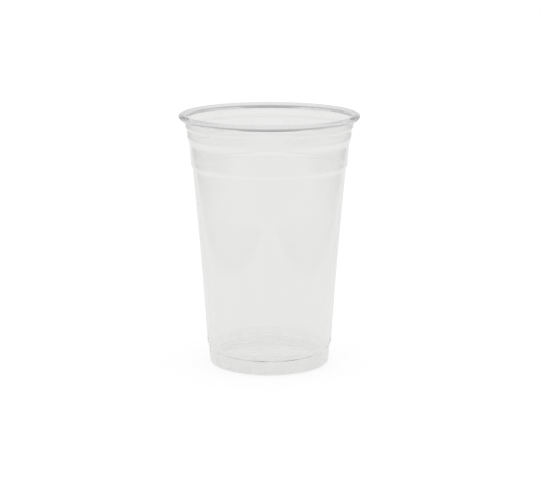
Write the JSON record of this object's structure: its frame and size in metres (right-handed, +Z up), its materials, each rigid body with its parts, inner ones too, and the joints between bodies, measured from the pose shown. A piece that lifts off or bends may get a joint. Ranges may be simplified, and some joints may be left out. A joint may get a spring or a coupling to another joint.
{
  "type": "clear disposable cold-drink cup",
  "caption": "Tall tapered clear plastic cup with a rolled rim, undercut collar, stacking shoulders and a pushed-up base.",
  "frame": {"origin": "centre of the base, on the surface that the cup stands on", "axes": "+Z up along the cup's axis, from the base to the rim; the cup is the same all round"},
  "size_m": [0.098, 0.098, 0.138],
  "materials": {
    "clear_plastic": "clear, smooth and glossy, very faintly grey"
  },
  "bodies": {
    "root": {"cup": "clear_plastic"}
  },
  "joints": []
}
